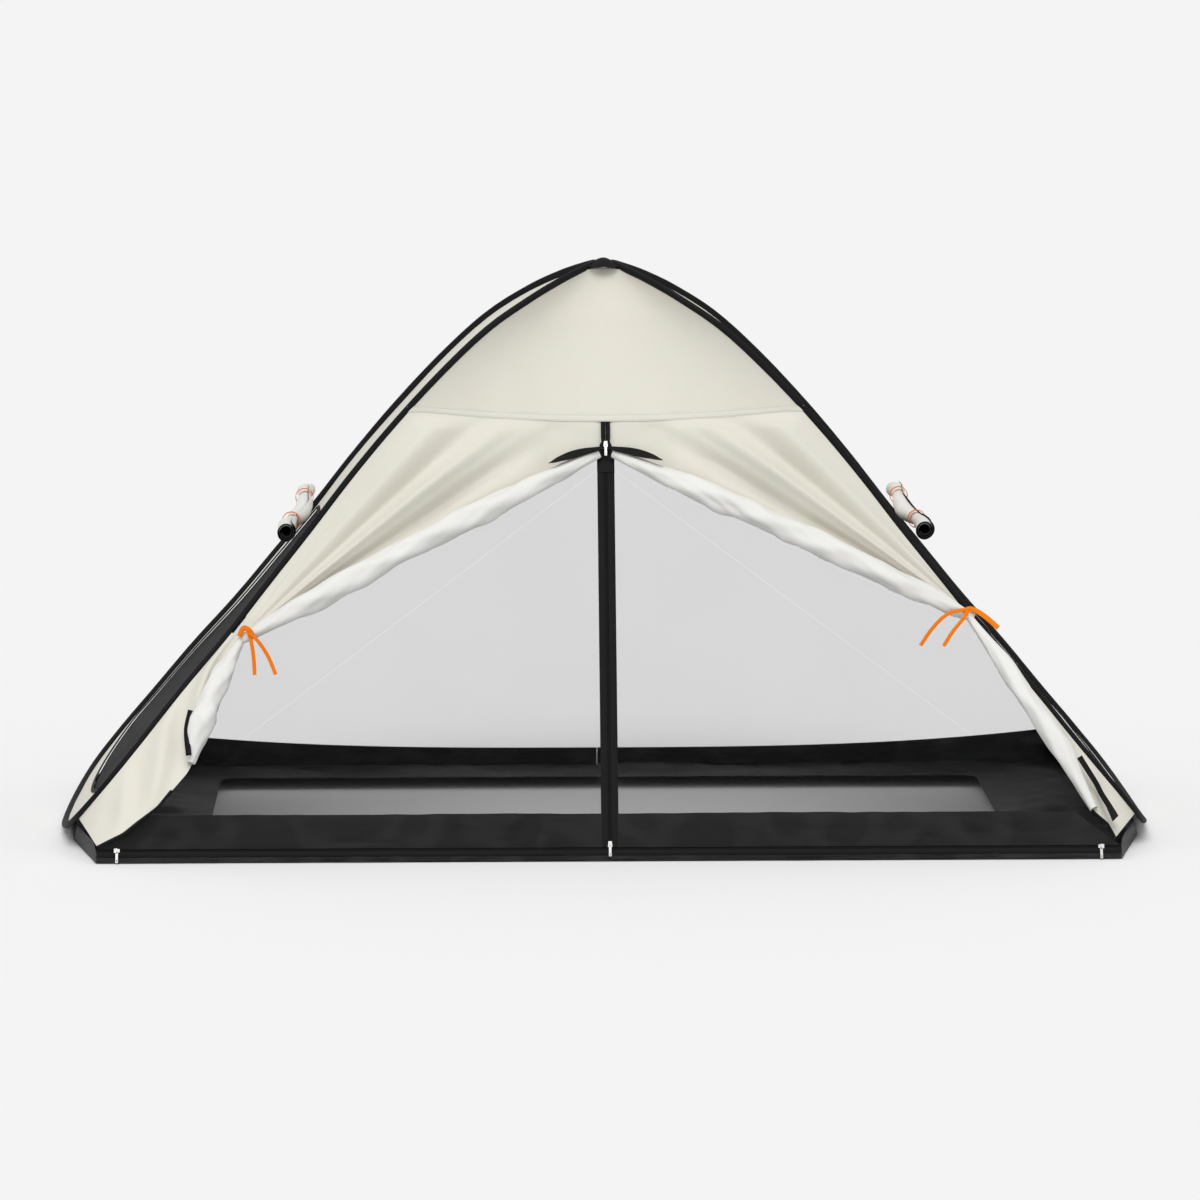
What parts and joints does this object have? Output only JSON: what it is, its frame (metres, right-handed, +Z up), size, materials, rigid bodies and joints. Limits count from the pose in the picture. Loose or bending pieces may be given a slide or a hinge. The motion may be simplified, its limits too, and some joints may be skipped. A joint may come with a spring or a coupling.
{
  "type": "pop-up bed tent",
  "caption": "Pop-up bed tent with two sprung hoops under one crown, cream walls, rolled door leaves tied back, zipped mesh doors and a black floor rim.",
  "frame": {"origin": "on the ground, straight under the crown where the two hoops meet", "axes": "+X along the bed to the right-hand hoop, +Y away from the door side, +Z up"},
  "size_m": [2.1206, 0.9966, 1.0996],
  "materials": {
    "cream": "matt cream polyester with soft creases",
    "reverse": "pale silver coated reverse of the cream cloth",
    "sleeve": "matt black woven binding",
    "rim": "matt black polyester, lightly crumpled",
    "tape": "black zip tape with a fine coil",
    "netting": "very fine dark netting that is nearly clear",
    "window": "dense black netting",
    "orange": "orange woven tape",
    "steel": "tempered spring wire",
    "zinc": "pale cast zip hardware"
  },
  "bodies": {
    "left_frame": {"hoop_sleeve_left": "sleeve", "hoop_wire_left": "steel", "hoop_ferrule_left": "steel", "end_panel_left": "cream", "window_mesh_left": "window", "window_cover_roll_left": "reverse", "window_strap_near_left": "orange", "window_strap_far_left": "orange", "front_upper_panel_left": "cream", "outer_flap_left": "cream", "flap_roll_left": "reverse", "flap_tie_left": "orange", "lower_flap_roll_left": "reverse", "flap_corner_left": "cream", "flap_zip_tape_left": "tape", "front_mesh_left": "netting", "back_upper_panel_left": "cream", "back_mesh_left": "netting", "front_skirt_left": "rim", "back_skirt_left": "rim", "floor_lip_left": "rim", "bottom_zip_tape_left": "tape"},
    "centre": {"crown_patch": "sleeve", "outer_zip_tape_left": "tape", "outer_zip_tape_right": "tape"},
    "right_frame": {"hoop_sleeve_right": "sleeve", "hoop_wire_right": "steel", "hoop_ferrule_right": "steel", "end_panel_right": "cream", "window_mesh_right": "window", "window_cover_roll_right": "reverse", "window_strap_near_right": "orange", "window_strap_far_right": "orange", "front_upper_panel_right": "cream", "outer_flap_right": "cream", "flap_roll_right": "reverse", "flap_tie_right": "orange", "lower_flap_roll_right": "reverse", "flap_corner_right": "cream", "flap_zip_tape_right": "tape", "front_mesh_right": "netting", "back_upper_panel_right": "cream", "back_mesh_right": "netting", "front_skirt_right": "rim", "back_skirt_right": "rim", "floor_lip_right": "rim", "bottom_zip_tape_right": "tape"},
    "door_left": {"mesh_door_left": "netting", "mesh_zip_tape_left": "tape"},
    "door_right": {"mesh_door_right": "netting", "mesh_zip_tape_right": "tape"},
    "mesh_slider": {"mesh_slider": "zinc"},
    "mesh_puller": {"mesh_puller": "zinc"},
    "outer_slider": {"outer_slider": "zinc"},
    "outer_puller": {"outer_puller": "zinc"},
    "corner_slider_left": {"corner_slider_left": "zinc"},
    "corner_puller_left": {"corner_puller_left": "zinc"},
    "corner_slider_right": {"corner_slider_right": "zinc"},
    "corner_puller_right": {"corner_puller_right": "zinc"}
  },
  "joints": [
    {"name": "left_fold", "type": "hinge", "parent": "left_frame", "child": "centre", "pos_m": [0, 0, 1.09], "axis": [0, 1, 0], "range_deg": [0, 44], "deforming": ["crown_patch", "outer_zip_tape_left", "outer_zip_tape_right", "front_upper_panel_left", "outer_flap_left", "flap_roll_left", "flap_tie_left", "lower_flap_roll_left", "flap_corner_left", "flap_zip_tape_left", "front_mesh_left", "back_upper_panel_left", "back_mesh_left", "front_skirt_left", "back_skirt_left", "floor_lip_left", "bottom_zip_tape_left"]},
    {"name": "right_fold", "type": "hinge", "parent": "centre", "child": "right_frame", "pos_m": [0, 0, 1.09], "axis": [0, 1, 0], "range_deg": [0, 44], "deforming": ["front_upper_panel_right", "outer_flap_right", "flap_roll_right", "flap_tie_right", "lower_flap_roll_right", "flap_corner_right", "flap_zip_tape_right", "front_mesh_right", "back_upper_panel_right", "back_mesh_right", "front_skirt_right", "back_skirt_right", "floor_lip_right", "bottom_zip_tape_right"]},
    {"name": "door_left_swing", "type": "hinge", "parent": "centre", "child": "door_left", "pos_m": [0, -0.178, 0.72], "axis": [-0.7856, -0.2526, -0.5648], "range_deg": [0, 75], "deforming": ["mesh_door_left", "mesh_zip_tape_left"]},
    {"name": "door_right_swing", "type": "hinge", "parent": "centre", "child": "door_right", "pos_m": [0, -0.178, 0.72], "axis": [-0.7856, 0.2526, 0.5648], "range_deg": [0, 75], "deforming": ["mesh_door_right", "mesh_zip_tape_right"]},
    {"name": "mesh_zip_slide", "type": "slide", "parent": "door_left", "child": "mesh_slider", "axis": [0, 0.4083, 0.9129], "range_m": [0, 0.7]},
    {"name": "mesh_puller_swing", "type": "hinge", "parent": "mesh_slider", "child": "mesh_puller", "pos_m": [0, -0.48913, 0.03215], "axis": [-1, 0, 0], "range_deg": [0, 135]},
    {"name": "outer_zip_slide", "type": "slide", "parent": "centre", "child": "outer_slider", "axis": [0, 0.4083, 0.9129], "range_m": [0, 0.045]},
    {"name": "outer_puller_swing", "type": "hinge", "parent": "outer_slider", "child": "outer_puller", "pos_m": [0, -0.17702, 0.75687], "axis": [-1, 0, 0], "range_deg": [0, 135]},
    {"name": "corner_zip_slide_left", "type": "slide", "parent": "left_frame", "child": "corner_slider_left", "axis": [1, 0, 0], "range_m": [0, 0.895]},
    {"name": "corner_puller_swing_left", "type": "hinge", "parent": "corner_slider_left", "child": "corner_puller_left", "pos_m": [-0.928, -0.4926, 0.02439], "axis": [-1, 0, 0], "range_deg": [0, 135]},
    {"name": "corner_zip_slide_right", "type": "slide", "parent": "right_frame", "child": "corner_slider_right", "axis": [-1, 0, 0], "range_m": [0, 0.895]},
    {"name": "corner_puller_swing_right", "type": "hinge", "parent": "corner_slider_right", "child": "corner_puller_right", "pos_m": [0.928, -0.4926, 0.02439], "axis": [-1, 0, 0], "range_deg": [0, 135]}
  ],
  "couplings": [
    {"joint": "right_fold", "follows": "left_fold", "ratio": 1}
  ]
}
